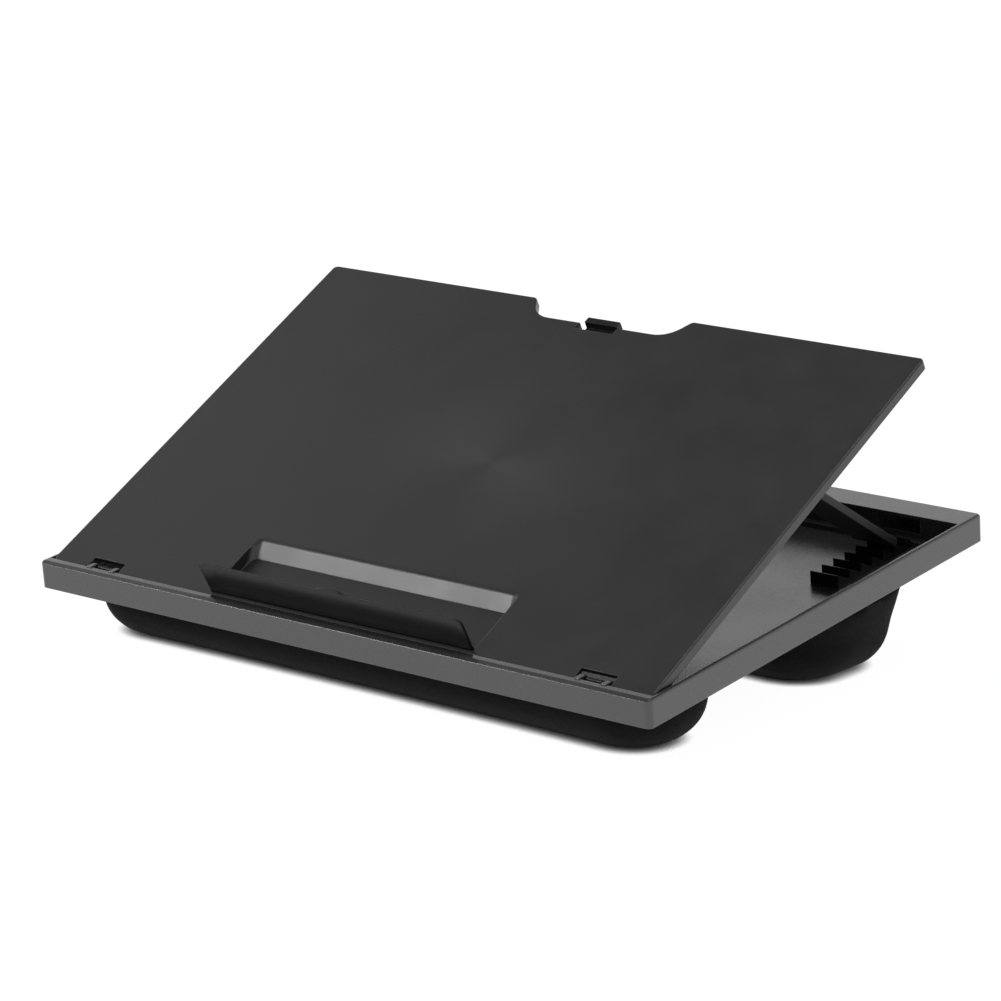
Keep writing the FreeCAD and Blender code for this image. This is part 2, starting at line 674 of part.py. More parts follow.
# Latch: a lever on a pin under the panel, with a finger tab at its end and a hook below
latch = Piece("panel_latch")
tongue_front = slit_front + S.latch_front_gap
latch.block((latch_low, latch_y, latch_z - arm_half),
            (latch_high, tongue_front + S.latch_arm_thickness, latch_z + arm_half))
latch.block((latch_low, tongue_front, latch_z - arm_half),
            (latch_high, latch_rear, S.panel_rise + S.latch_lip_height))
latch.block((S.latch_place - S.latch_hook_half_width, hook_rear - S.latch_hook_depth,
             latch_z - S.latch_hook_drop),
            (S.latch_place + S.latch_hook_half_width, hook_rear, latch_z))
latch.rod(latch_low, latch_high, latch_y, latch_z, S.latch_barrel_radius)
latch.rod(latch_low, latch_high, latch_y, latch_z, S.latch_pin_radius + S.running_clearance, cut=True)
latch.stand(panel_pose)


def one_solid_each(label, solids, pose):
    """A group of like fasteners, as separate solids in one piece."""
    group = doc.addObject("Part::Feature", label)
    group.Label = label
    group.Shape = Part.makeCompound(solids)
    group.Placement = pose
    return group


# Rack screws: countersunk screws, put in from under the tray
def rack_screw(x, y):
    """One countersunk screw, pointing up."""
    foot = FreeCAD.Vector(float(x), float(y), float(dish_under))
    head = Part.makeCone(float(S.screw_head_radius), float(S.screw_radius),
                         float(S.screw_head_height), foot)
    shank = Part.makeCylinder(float(S.screw_radius), float(S.rack_screw_length), foot)
    return head.fuse(shank).removeSplitter()


rack_screws = one_solid_each("rack_screws", [rack_screw(x, y) for x, y in rack_screw_places()], tray_pose)


# Cushion screws: round-headed screws, put in from above through the tray floor into the boards
def cushion_screw(x, y):
    """One round-headed screw, pointing down."""
    seat = FreeCAD.Vector(float(x), float(y), float(dish_top))
    down = FreeCAD.Vector(0, 0, -1)
    head = Part.makeCylinder(float(S.screw_head_radius), float(S.screw_head_height), seat)
    shank = Part.makeCylinder(float(S.screw_radius), float(S.cushion_screw_length), seat, down)
    return head.fuse(shank).removeSplitter()


cushion_screws = one_solid_each(
    "cushion_screws",
    [cushion_screw(x, y) for name in CUSHIONS for x, y in cushion_screw_places(name)], tray_pose)


# Cushions: rounded forms with drawn-in sides, cut off at the top by the leaning tray
def drawn_outline(half_length, half_depth, corner, draw, middle, z):
    """A level rounded rectangle whose four sides bow inwards, of four side arcs and four corner arcs."""
    def spot(x, y):
        return FreeCAD.Vector(x, y + middle, z)

    edges = []
    flat_x = half_length - corner
    flat_y = half_depth - corner
    diagonal = corner * math.sqrt(0.5)
    for sx, sy in ((1, 1), (-1, 1), (-1, -1), (1, -1)):
        along_x = spot(sx * half_length, sy * flat_y)
        on_corner = spot(sx * (flat_x + diagonal), sy * (flat_y + diagonal))
        along_y = spot(sx * flat_x, sy * half_depth)
        if sx == sy:
            edges.append(Part.Arc(along_x, on_corner, along_y))
            waist = spot(0, sy * (half_depth - draw))
            edges.append(Part.Arc(along_y, waist, spot(-sx * flat_x, sy * half_depth)))
        else:
            edges.append(Part.Arc(along_y, on_corner, along_x))
            waist = spot(sx * (half_length - draw * flat_y / flat_x), 0)
            edges.append(Part.Arc(along_x, waist, spot(sx * half_length, -sy * flat_y)))
    return Part.Wire([edge.toShape() for edge in edges])


def cushion_form(name, skin):
    """The cushion's form, drawn in by skin all round: a quarter round edge under drawn-in or flared sides."""
    middle, half_length, half_depth, corner, edge, belly = [float(size) for size in CUSHIONS[name][:6]]
    draw = float(S.cushion_draw)
    top = float(S.rim_height) + float(dish_under) + (middle + half_depth) * math.tan(lean) + edge / 2
    middle += row_shift.y
    levels = []
    for step in range(EDGE_STEPS + 1):
        turn = math.radians(90.0) * step / EDGE_STEPS
        levels.append((edge * (1 - math.cos(turn)), edge * (1 - math.sin(turn)), step / EDGE_STEPS))
    for step in range(1, SIDE_STEPS + 1):
        share = step / SIDE_STEPS
        levels.append((edge + (top - edge) * share, belly * share, 1.0))
    wires = []
    for height, inset, share in levels:
        inward = inset + skin
        z = height + skin * (1 - share)
        wires.append(drawn_outline(half_length - inward, half_depth - inward,
                                   corner - inward, draw * (1 + share) / 2, middle, z))
    return Part.makeLoft(wires, True, False)


def above(drop):
    """A block over everything higher than a plane that lies under the tray's dish by drop."""
    side = float(S.tray_width) * 2
    block = Part.makeBox(side, side, side, FreeCAD.Vector(-side / 2, -side / 2, float(dish_under) - drop))
    block.Placement = tray_pose
    return block


def screw_holes(name):
    """Holes for the board screws."""
    holes = []
    for x, y in cushion_screw_places(name):
        foot = FreeCAD.Vector(float(x), float(y), float(dish_under) - float(S.cut_overrun))
        hole = Part.makeCylinder(float(screw_hole), float(S.cut_overrun) * 2, foot)
        hole.Placement = tray_pose
        holes.append(hole)
    return holes


def plain(label, shape):
    """A sub-part whose shape is worked out here, in its place."""
    made = doc.addObject("Part::Feature", label)
    made.Label = label
    made.Shape = shape
    return made


cushion_parts = []
for name in CUSHIONS:
    middle, half_length, half_depth = CUSHIONS[name][:3]
    cloth = float(S.cushion_cloth)
    slack = float(S.foam_gap)
    seat = float(S.cushion_seat_gap)
    board_top = dish_under - S.cushion_seat_gap - S.cushion_cloth - S.foam_gap
    board_half_length = half_length - S.board_inset
    board_half_depth = half_depth - S.board_inset
    board_under = board_top - S.board_thickness
    board = Piece(f"{name}_cushion_board")
    board.block((-board_half_length, board_middle(middle) - board_half_depth, board_under),
                (board_half_length, board_middle(middle) + board_half_depth, board_top))
    board.round(S.board_corner - S.board_inset / 2, lambda edge: runs_along(edge, 2))
    for x, y in cushion_screw_places(name):
        board.post(x, y, board_under - over, board_top + over, screw_hole, cut=True)
    board.stand(tray_pose)
    doc.recompute()

    holes = screw_holes(name)
    outer = cushion_form(name, 0.0).cut(above(seat))
    cavity = cushion_form(name, cloth).cut(above(seat + cloth))
    foam = cushion_form(name, cloth + slack).cut(above(seat + cloth + slack))
    foam = foam.cut(above(seat + cloth + slack + float(S.board_thickness) + slack))
    cover = outer.cut(cavity).cut(holes)
    cushion_parts.append(plain(f"{name}_cushion_cover", cover))
    cushion_parts.append(plain(f"{name}_cushion_foam", foam.cut(holes)))
    cushion_parts.append(board.body)

# Check every object, then write each sub-part
doc.recompute()
for each in doc.Objects:
    if "Invalid" in each.State or "Error" in each.State:
        raise RuntimeError(f"{each.Name} failed: {each.State}")
pieces = [tray, panel, flap, prop, latch] + racks + pins
sub_parts = [piece.body for piece in pieces] + [rack_screws, cushion_screws] + cushion_parts
os.makedirs("parts", exist_ok=True)
for part in sub_parts:
    shape = part.Shape
    if shape.isNull() or not shape.isValid() or not shape.Solids:
        raise RuntimeError(f"{part.Label} has no valid solid")
for part in sub_parts:
    part.Shape.exportStep(f"parts/{part.Label}.step")
    box = part.Shape.BoundBox
    print(f"{part.Label}: {len(part.Shape.Solids)} solids, {part.Shape.Volume:.0f} mm3, "
          f"x {box.XMin:.2f} {box.XMax:.2f} y {box.YMin:.2f} {box.YMax:.2f} "
          f"z {box.ZMin:.2f} {box.ZMax:.2f}")
for name, pose, y, z in (("panel hinge", tray_pose, hinge_y, hinge_z),
                         ("ledge hinge", panel_pose, flap_y, flap_z),
                         ("prop pivot", panel_pose, pivot_y, pivot_z),
                         ("latch pivot", panel_pose, latch_y, latch_z)):
    spot = pose.multVec(FreeCAD.Vector(0, float(y), float(z)))
    print(f"{name}: y {spot.y:.4f} z {spot.z:.4f}")
print(f"prop swing: {prop_swing:.4f} degrees")
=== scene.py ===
"""A lap tray on two cushions: tray, racks, cushions, top panel, prop, ledge and latch tab."""
import json
import math

import bpy
import numpy as np
from mathutils import Matrix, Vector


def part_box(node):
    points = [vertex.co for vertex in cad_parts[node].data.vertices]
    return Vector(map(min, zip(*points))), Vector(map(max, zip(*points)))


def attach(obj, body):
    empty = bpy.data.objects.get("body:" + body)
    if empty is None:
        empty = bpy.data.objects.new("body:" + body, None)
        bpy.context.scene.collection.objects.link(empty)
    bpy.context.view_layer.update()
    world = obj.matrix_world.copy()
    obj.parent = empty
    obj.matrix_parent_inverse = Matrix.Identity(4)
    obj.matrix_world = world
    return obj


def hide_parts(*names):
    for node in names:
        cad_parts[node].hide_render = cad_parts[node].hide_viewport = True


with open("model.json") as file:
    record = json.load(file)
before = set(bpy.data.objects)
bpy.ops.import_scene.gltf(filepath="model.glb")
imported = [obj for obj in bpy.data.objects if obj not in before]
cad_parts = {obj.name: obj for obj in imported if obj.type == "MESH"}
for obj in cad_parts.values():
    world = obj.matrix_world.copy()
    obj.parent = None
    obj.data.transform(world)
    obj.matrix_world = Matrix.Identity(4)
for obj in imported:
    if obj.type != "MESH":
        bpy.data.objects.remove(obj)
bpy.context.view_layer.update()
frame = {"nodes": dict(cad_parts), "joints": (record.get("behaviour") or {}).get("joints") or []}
scene = bpy.context.scene
nodes = frame["nodes"]
joints = {joint["name"]: joint for joint in frame["joints"]}

# Tray shell
# One injection moulding in dark grey plastic: a shallow dish with a hollow skirt all round.
# It comes out of the mould with a fine eroded texture and slightly softened edges.
TRAY_GREY = (0.024, 0.024, 0.0242, 1.0)


def add_node(tree, kind, inputs=None, **properties):
    """One shader node, with its properties set and its sockets either set or linked."""
    made = tree.nodes.new(kind)
    for name, value in properties.items():
        setattr(made, name, value)
    for name, value in (inputs or {}).items():
        socket = made.inputs[name]
        if isinstance(value, bpy.types.NodeSocket):
            tree.links.new(value, socket)
        else:
            socket.default_value = value
    return made


def new_group(name, entries, exits):
    """An empty shader group with named sockets; gives its tree, its inputs and its outlet."""
    tree = bpy.data.node_groups.new(name, "ShaderNodeTree")
    for label, kind, default in entries:
        socket = tree.interface.new_socket(label, in_out="INPUT", socket_type=kind)
        socket.default_value = default
    for label, kind in exits:
        tree.interface.new_socket(label, in_out="OUTPUT", socket_type=kind)
    return tree, tree.nodes.new("NodeGroupInput").outputs, tree.nodes.new("NodeGroupOutput").inputs


def moulded_finish_group():
    """Moulded plastic: eroded grain as bump, cloudy mottle in tone and gloss, edges paled by a painted
    highlight.
    """
    tree, given, wanted = new_group(
        "moulded_finish",
        [("Colour", "NodeSocketColor", (0.05, 0.05, 0.05, 1.0)), ("Gloss Loss", "NodeSocketFloat", 0.4),
         ("Grain", "NodeSocketFloat", 1500.0), ("Edge", "NodeSocketFloat", 0.001)],
        [("Colour", "NodeSocketColor"), ("Roughness", "NodeSocketFloat"),
         ("Normal", "NodeSocketVector")])
    place = add_node(tree, "ShaderNodeTexCoord").outputs["Object"]
    grain = add_node(tree, "ShaderNodeTexNoise",
                     {"Vector": place, "Scale": given["Grain"], "Detail": 2.0}).outputs["Fac"]
    mottle = add_node(tree, "ShaderNodeTexNoise",
                      {"Vector": place, "Scale": 26.0, "Detail": 5.0, "Roughness": 0.6}).outputs["Fac"]
    soft = add_node(tree, "ShaderNodeBevel", {"Radius": given["Edge"]}, samples=6).outputs["Normal"]
    flat = add_node(tree, "ShaderNodeNewGeometry").outputs["Normal"]
    facing = add_node(tree, "ShaderNodeVectorMath", {0: soft, 1: flat}, operation="DOT_PRODUCT")
    # Where the bevelled normal leans off the flat one, the colour is painted paler: a painted highlight
    # on rounded edges, also meant as light edge wear.
    edge = add_node(tree, "ShaderNodeMapRange",
                    {"Value": facing.outputs["Value"], "From Min": 1.0, "From Max": 0.8,
                     "To Min": 0.0, "To Max": 1.0}).outputs["Result"]
    cloud = add_node(tree, "ShaderNodeMapRange",
                     {"Value": mottle, "From Min": 0.3, "From Max": 0.7, "To Min": 0.88, "To Max": 1.12})
    edge_highlight_and_mottle = add_node(tree, "ShaderNodeMath", {0: edge, 1: 0.45, 2: cloud.outputs["Result"]},
                    operation="MULTIPLY_ADD")
    shade = add_node(tree, "ShaderNodeVectorMath", {0: given["Colour"], "Scale": edge_highlight_and_mottle.outputs["Value"]},
                     operation="SCALE")
    speck = add_node(tree, "ShaderNodeMath", {0: grain, 1: mottle}, operation="ADD")
    gloss = add_node(tree, "ShaderNodeMath", {0: speck.outputs["Value"], 1: 0.16, 2: -0.16},
                     operation="MULTIPLY_ADD")
    rough = add_node(tree, "ShaderNodeMath", {0: given["Gloss Loss"], 1: gloss.outputs["Value"]},
                     operation="ADD", use_clamp=True)
    bump = add_node(tree, "ShaderNodeBump",
                    {"Height": grain, "Strength": 0.25, "Distance": 0.0002, "Normal": soft})
    for label, socket in (("Colour", shade.outputs["Vector"]), ("Roughness", rough.outputs["Value"]),
                          ("Normal", bump.outputs["Normal"])):
        tree.links.new(socket, wanted[label])
    return tree


moulded_finish = moulded_finish_group()


def moulded_plastic(name, colour, roughness, grain, edge, specular):
    """A plastic with the moulded finish; gives the material, its shader and the finish node."""
    material = bpy.data.materials.new(name)
    material.use_nodes = True
    tree = material.node_tree
    shader = tree.nodes["Principled BSDF"]
    shader.inputs["Specular IOR Level"].default_value = specular
    finish = add_node(tree, "ShaderNodeGroup", node_tree=moulded_finish)
    for label, value in (("Colour", colour), ("Gloss Loss", roughness),
                         ("Grain", grain), ("Edge", edge)):
        finish.inputs[label].default_value = value
    for label, socket in (("Colour", "Base Color"), ("Roughness", "Roughness"), ("Normal", "Normal")):
        tree.links.new(finish.outputs[label], shader.inputs[socket])
    return material, shader, finish


def dress(material, *names):
    """Puts one material on CAD nodes, which keep their own meshes."""
    for name in names:
        nodes[name].data.materials.clear()
        nodes[name].data.materials.append(material)


tray_plastic, _, _ = moulded_plastic("tray_plastic", TRAY_GREY, roughness=0.26, grain=1500.0,
                                     edge=0.0011, specular=1.0)
dress(tray_plastic, "tray_shell")

# Racks
# Two sawtooth strips in black plastic, moulded apart and screwed down on the dish floor.
# Their upright faces take the push of the prop's feet.
RACK_BLACK = (0.006, 0.006, 0.006, 1.0)
rack_plastic, _, _ = moulded_plastic("rack_plastic", RACK_BLACK, roughness=0.36, grain=1800.0,
                                     edge=0.0006, specular=0.4)
dress(rack_plastic, "rack_left", "rack_right")

# Screws and pins
# Blackened turned steel: countersunk and round-headed screws, and short rods for the pivots.
# Fine lathe rings run round them and the black has worn a little.
PIN_STEEL = (0.045, 0.045, 0.047, 1.0)


def turned_steel(name, colour):
    """Blackened steel whose gloss is broken up by fine rings along X and by cloudy wear."""
    material = bpy.data.materials.new(name)
    material.use_nodes = True
    tree = material.node_tree
    shader = tree.nodes["Principled BSDF"]
    shader.inputs["Metallic"].default_value = 1.0
    place = add_node(tree, "ShaderNodeTexCoord").outputs["Object"]
    rings = add_node(tree, "ShaderNodeTexWave", {"Vector": place, "Scale": 900.0, "Distortion": 1.5},
                     bands_direction="X").outputs["Fac"]
    wear = add_node(tree, "ShaderNodeTexNoise", {"Vector": place, "Scale": 180.0, "Detail": 4.0})
    rough = add_node(tree, "ShaderNodeMapRange",
                     {"Value": wear.outputs["Fac"], "From Min": 0.3, "From Max": 0.7,
                      "To Min": 0.28, "To Max": 0.5}).outputs["Result"]
    tone = add_node(tree, "ShaderNodeMapRange",
                    {"Value": wear.outputs["Fac"], "From Min": 0.2, "From Max": 0.8,
                     "To Min": 0.75, "To Max": 1.15}).outputs["Result"]
    shade = add_node(tree, "ShaderNodeVectorMath", {0: colour[:3], "Scale": tone}, operation="SCALE")
    bump = add_node(tree, "ShaderNodeBump", {"Height": rings, "Strength": 0.2, "Distance": 0.0001})
    tree.links.new(shade.outputs["Vector"], shader.inputs["Base Color"])
    tree.links.new(rough, shader.inputs["Roughness"])
    tree.links.new(bump.outputs["Normal"], shader.inputs["Normal"])
    return material


dress(turned_steel("pin_steel", PIN_STEEL), "rack_screws", "cushion_screws", "latch_pin",
      *[f"{kind}_pin_{side}" for kind in ("hinge", "ledge", "prop") for side in ("left", "right")])

# Cushions
# Two long pads of foam on a thin board, in a stretched cover of black felted knit.
# They are screwed to the tray's underside, which leans, so the rear pad is the thicker one.
TRAY_LEAN = math.radians(6.3)
FELT_BLACK = (0.0045, 0.0045, 0.0048)
CUSHION_VOXEL = 0.005
CUSHION_SWELL = 0.003
CUSHION_SINK = 0.001
CUSHION_SEAT = 0.0005
HELD_BAND = CUSHION_SEAT * 4
UNDERSIDE_DROP = 0.0229
RIM_HEIGHT = 0.0512
TRAY_FRONT = -0.18989
OUTLINE_POINTS = 220
ARC_STEPS = 25
FOOT_RINGS = 10
SIDE_RINGS = 5
FIRST_SIDE_SHARE = 0.2
LEAST_CORNER = 0.012
CLOTH_STEPS = 20
CUSHIONS = {
    "front_cushion": {"middle": -0.12339, "half": (0.2425, 0.0480), "corner": 0.045, "edge": 0.030,
                      "draw": 0.004, "flare": 0.15},
    "rear_cushion": {"middle": 0.07351, "half": (0.2425, 0.0635), "corner": 0.053, "edge": 0.030,
                     "draw": 0.005, "flare": 0.30},
}


def mesh_piece(name, points, faces):
    """A mesh object at the origin, from an array of points and lists of faces."""
    mesh = bpy.data.meshes.new(name)
    mesh.from_pydata(points.tolist(), [], faces)
    mesh.update()
    mesh.shade_smooth()
    piece = bpy.data.objects.new(name, mesh)
    scene.collection.objects.link(piece)
    return piece


def ring_faces(rings, around, first_cap=True, last_cap=True):
    """Quads between closed rings of points, with an outward-facing cap on each end ring."""
    start = np.arange(rings - 1)[:, None] * around
    here = np.arange(around)[None, :]
    after = (here + 1) % around
    quads = np.stack([start + here, start + after,
                      start + around + after, start + around + here], axis=-1)
    faces = quads.reshape(-1, 4).tolist()
    if first_cap:
        faces.append(list(range(around))[::-1])
    if last_cap:
        faces.append(list(range((rings - 1) * around, rings * around)))
    return faces


def rounded_outline(half_length, half_depth, corner, count):
    """A rounded rectangle as unit steps of its own length: four corner arcs joined by straight runs."""
    turn = np.linspace(0.0, math.pi / 2, ARC_STEPS)
    arcs = []
    for quarter, (sx, sy) in enumerate(((1, 1), (-1, 1), (-1, -1), (1, -1))):
        angle = turn + quarter * math.pi / 2
        arcs.append(np.stack([sx * (half_length - corner) + corner * np.cos(angle),
                              sy * (half_depth - corner) + corner * np.sin(angle)], axis=1))
    path = np.concatenate(arcs + [arcs[0][:1]])
    run = np.concatenate([[0.0], np.cumsum(np.linalg.norm(np.diff(path, axis=0), axis=1))])
    steps = np.linspace(0.0, run[-1], count, endpoint=False)
    return np.stack([np.interp(steps, run, path[:, axis]) for axis in range(2)], axis=1)


def pad_form(middle, half, corner, edge, draw, flare, count=OUTLINE_POINTS):
    """Stacked rounded outlines: a quarter-round foot, flared sides drawn in at the waist, leaning top."""
    side = tray_underside(middle) - edge
    foot = np.linspace(0.0, 1.0, FOOT_RINGS)
    inset = edge * (1 - np.sin(foot * math.pi / 2))
    rise = edge * (1 - np.cos(foot * math.pi / 2))
    levels = [(inward, height, None) for inward, height in zip(inset, rise)]
    shares = np.linspace(FIRST_SIDE_SHARE, 1.0, SIDE_RINGS)
    levels += [(-flare * side * share, None, share) for share in shares]
    rings = []
    for inward, height, share in levels:
        rounding = max(corner - inward, LEAST_CORNER)
        flat = rounded_outline(half[0] - inward, half[1] - inward, rounding, count)
        waist = 1 - draw / half[1] * (1 - np.clip(flat[:, 0] / half[0], -1, 1) ** 2)
        flat[:, 1] = flat[:, 1] * waist
        flat[:, 1] += middle
        top = tray_underside(flat[:, 1]) - CUSHION_SEAT
        up = np.full(count, height) if share is None else edge + (top - edge) * share
        rings.append(np.column_stack([flat, up]))
    return np.concatenate(rings), ring_faces(len(rings), count)


def tray_underside(y):
    """Height of the leaning underside of the dish at a place along y."""
    return RIM_HEIGHT + (y - TRAY_FRONT) * math.tan(TRAY_LEAN) - UNDERSIDE_DROP / math.cos(TRAY_LEAN)


def mesh_points(mesh):
    """A mesh's points as an array."""
    flat = np.empty(len(mesh.vertices) * 3, np.float32)
    mesh.vertices.foreach_get("co", flat)
    return flat.reshape(-1, 3).astype(float)


def swell(piece, limit, sink):
    """Blows the cover up as cloth under pressure, held along the tray's underside, within limits."""
    start = mesh_points(piece.data)
    normals = np.empty(len(start) * 3, np.float32)
    piece.data.vertex_normals.foreach_get("vector", normals)
    normals = normals.reshape(-1, 3).astype(float)
    held = start[:, 2] > tray_underside(start[:, 1]) - HELD_BAND
    grip = piece.vertex_groups.new(name="held")
    grip.add(np.nonzero(held)[0].tolist(), 1.0, "REPLACE")
    cloth = piece.modifiers.new("cover", "CLOTH")
    cloth.settings.quality = 6
    cloth.settings.mass = 0.3
    cloth.settings.use_pressure = True
    cloth.settings.uniform_pressure_force = 4.0
    cloth.settings.effector_weights.gravity = 0.0
    cloth.settings.vertex_group_mass = "held"
    cloth.collision_settings.use_collision = False
    for step in range(1, CLOTH_STEPS + 1):
        scene.frame_set(step)
    swollen = mesh_points(piece.evaluated_get(bpy.context.evaluated_depsgraph_get()).data)
    scene.frame_set(1)
    piece.modifiers.remove(cloth)
    out = np.clip(np.sum((swollen - start) * normals, axis=1), -sink, limit)
    return start + normals * out[:, None]


def felted_knit(name, colour):
    """Felted knit: matted fibres from stretched noise, pale lint, and a soft sheen at grazing angles."""
    material = bpy.data.materials.new(name)
    material.use_nodes = True
    tree = material.node_tree
    shader = tree.nodes["Principled BSDF"]
    for label, value in (("Specular IOR Level", 0.15), ("Sheen Weight", 0.2), ("Sheen Roughness", 0.45),
                         ("Sheen Tint", (0.1, 0.1, 0.105, 1.0))):
        shader.inputs[label].default_value = value
    place = add_node(tree, "ShaderNodeTexCoord").outputs["Object"]
    fibre = add_node(tree, "ShaderNodeTexNoise",
                     {"Vector": place, "Scale": 700.0, "Detail": 6.0, "Roughness": 0.7,
                      "Distortion": 2.0})
    clump = add_node(tree, "ShaderNodeTexNoise", {"Vector": place, "Scale": 160.0, "Detail": 4.0})
    lint = add_node(tree, "ShaderNodeTexVoronoi", {"Vector": place, "Scale": 420.0, "Randomness": 1.0})
    pale = add_node(tree, "ShaderNodeMapRange",
                    {"Value": lint.outputs["Distance"], "From Min": 0.0, "From Max": 0.28,
                     "To Min": 1.0, "To Max": 0.0}).outputs["Result"]
    matted = add_node(tree, "ShaderNodeMath",
                      {0: fibre.outputs["Fac"], 1: clump.outputs["Fac"]}, operation="MULTIPLY")
    tone = add_node(tree, "ShaderNodeMapRange",
                    {"Value": matted.outputs["Value"], "From Min": 0.12, "From Max": 0.42,
                     "To Min": 0.45, "To Max": 1.7}).outputs["Result"]
    linted = add_node(tree, "ShaderNodeMath", {0: pale, 1: 0.8, 2: tone}, operation="MULTIPLY_ADD")
    shade = add_node(tree, "ShaderNodeVectorMath", {0: colour, "Scale": linted.outputs["Value"]},
                     operation="SCALE")
    rough = add_node(tree, "ShaderNodeMapRange",
                     {"Value": clump.outputs["Fac"], "To Min": 0.8, "To Max": 1.0}).outputs["Result"]
    bump = add_node(tree, "ShaderNodeBump",
                    {"Height": matted.outputs["Value"], "Strength": 0.9, "Distance": 0.0016})
    tree.links.new(shade.outputs["Vector"], shader.inputs["Base Color"])
    tree.links.new(rough, shader.inputs["Roughness"])
    tree.links.new(bump.outputs["Normal"], shader.inputs["Normal"])
    return material


felt = felted_knit("cushion_felt", FELT_BLACK)
for name, form in CUSHIONS.items():
    piece = mesh_piece(name, *pad_form(**form))
    remesh = piece.modifiers.new("even", "REMESH")
    remesh.mode = "VOXEL"
    remesh.voxel_size = CUSHION_VOXEL
    even = bpy.data.meshes.new_from_object(piece.evaluated_get(bpy.context.evaluated_depsgraph_get()))
    piece.modifiers.remove(remesh)
    piece.data = even
    points = swell(piece, CUSHION_SWELL, CUSHION_SINK)
    points[:, 2] = np.clip(points[:, 2], 0.0, tray_underside(points[:, 1]) - CUSHION_SEAT)
    even.vertices.foreach_set("co", points.astype(np.float32).ravel())
    even.update()
    even.shade_smooth()
    even.materials.clear()
    even.materials.append(felt)
    finer = piece.modifiers.new("finer", "SUBSURF")
    finer.levels = finer.render_levels = 1
    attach(piece, "tray")
    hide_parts(f"{name}_cover", f"{name}_foam", f"{name}_board")

# Top panel
# One wide moulding in near-black plastic, hinged to the tray's front rim.
# The plastic spread from a gate at its middle, and faint turned rings show round that spot.
PANEL_BLACK = (0.0115, 0.0115, 0.0117, 1.0)
GATE_PLACE = (0.009, -0.0313, 0.1315)
RING_LEAN = 0.28
RING_REACH = 0.17
panel_plastic, panel_shader, panel_finish = moulded_plastic(
    "panel_plastic", PANEL_BLACK, roughness=0.36, grain=1700.0, edge=0.0009, specular=0.7)


def turn_rings(material, shader, finish):
    """Leans the normal to and from the gate at random, as fine turned rings do, less away from it."""
    tree = material.node_tree
    place = add_node(tree, "ShaderNodeTexCoord").outputs["Object"]
    local = add_node(tree, "ShaderNodeVectorMath", {0: place, 1: GATE_PLACE},
                     operation="SUBTRACT").outputs["Vector"]
    reach = add_node(tree, "ShaderNodeVectorMath", {0: local}, operation="LENGTH").outputs["Value"]
    outward = add_node(tree, "ShaderNodeVectorMath", {0: local}, operation="NORMALIZE").outputs["Vector"]
    turned = add_node(tree, "ShaderNodeVectorTransform", {"Vector": outward}, vector_type="VECTOR",
                      convert_from="OBJECT", convert_to="WORLD").outputs["Vector"]
    fade = add_node(tree, "ShaderNodeMapRange",
                    {"Value": reach, "From Min": 0.0, "From Max": RING_REACH,
                     "To Min": RING_LEAN, "To Max": 0.0},
                    interpolation_type="SMOOTHSTEP").outputs["Result"]
    chance = add_node(tree, "ShaderNodeTexWhiteNoise", {"Vector": place},
                      noise_dimensions="3D").outputs["Value"]
    either = add_node(tree, "ShaderNodeMath", {0: chance, 1: 2.0, 2: -1.0}, operation="MULTIPLY_ADD")
    lean = add_node(tree, "ShaderNodeMath", {0: either.outputs["Value"], 1: fade}, operation="MULTIPLY")
    leaned = add_node(tree, "ShaderNodeVectorMath",
                      {0: turned, 1: lean.outputs["Value"], 2: finish.outputs["Normal"]},
                      operation="MULTIPLY_ADD")
    tree.links.new(leaned.outputs["Vector"], shader.inputs["Normal"])


turn_rings(panel_plastic, panel_shader, panel_finish)
dress(panel_plastic, "top_panel")

# Prop
# A flat U-shaped frame in black plastic: two broad legs and a cross strap, pivoted under the panel.
# Its edges are rounded, and its feet stand in the racks.
PROP_BLACK = (0.012, 0.012, 0.012, 1.0)
prop_plastic, _, _ = moulded_plastic("prop_plastic", PROP_BLACK, roughness=0.6, grain=1700.0,
                                     edge=0.0012, specular=0.5)
dress(prop_plastic, "prop_frame")

# Ledge flap
# A thin moulded plate that flips up out of its recess, to hold a book or a tablet.
# Its outer face is hollowed, its edges are rounded, and a low bump on its free edge takes a thumb.
PANEL_TILT = 22.0
LEDGE_STAND = 92.0
FLAP_BARREL = 0.0021
FLAP_HEIGHT = 0.0275
FLAP_THICKNESS = 0.0020
FLAP_HOLLOW = 0.0009
FLAP_HOLLOW_END = 0.02
FLAP_CORNER = 0.003
FLAP_END_ROUND = 0.0004
FLAP_TURN = TRAY_LEAN + math.radians(PANEL_TILT + LEDGE_STAND)
FACE_STEPS = 26
TIP_STEPS = 9
BACK_TRIM = 3
BARREL_STEPS = 18
BARREL_FROM = -0.12
ACROSS_STEPS = 150
END_STEPS = 5
END_THIN = 0.7
THUMB_PLACE = 0.003
THUMB_HALF = 0.0105
THUMB_RISE = 0.0014
THUMB_SQUARENESS = 6
LEDGE_BLACK = (0.004, 0.004, 0.0042, 1.0)


def flap_profile():
    """Round the plate's section: place along it, place across it and share of the hollow."""
    out = np.linspace(0.0, FLAP_HEIGHT - FLAP_THICKNESS / 2, FACE_STEPS)
    dent = np.sin(math.pi * out / out[-1]) ** 2
    face = np.column_stack([out, np.full_like(out, FLAP_BARREL), dent])
    tip = np.linspace(math.pi / 2, -math.pi / 2, TIP_STEPS)[1:-1]
    edge = np.column_stack([out[-1] + FLAP_THICKNESS / 2 * np.cos(tip),
                            FLAP_BARREL - FLAP_THICKNESS / 2 + FLAP_THICKNESS / 2 * np.sin(tip),
                            np.zeros_like(tip)])
    back = face[::-1][:-BACK_TRIM] - np.array([0.0, FLAP_THICKNESS, 0.0])
    turn = np.linspace(BARREL_FROM, -1.5 * math.pi, BARREL_STEPS)[:-1]
    barrel = np.column_stack([FLAP_BARREL * np.cos(turn), FLAP_BARREL * np.sin(turn),
                              np.zeros_like(turn)])
    return np.concatenate([face, edge, back, barrel])


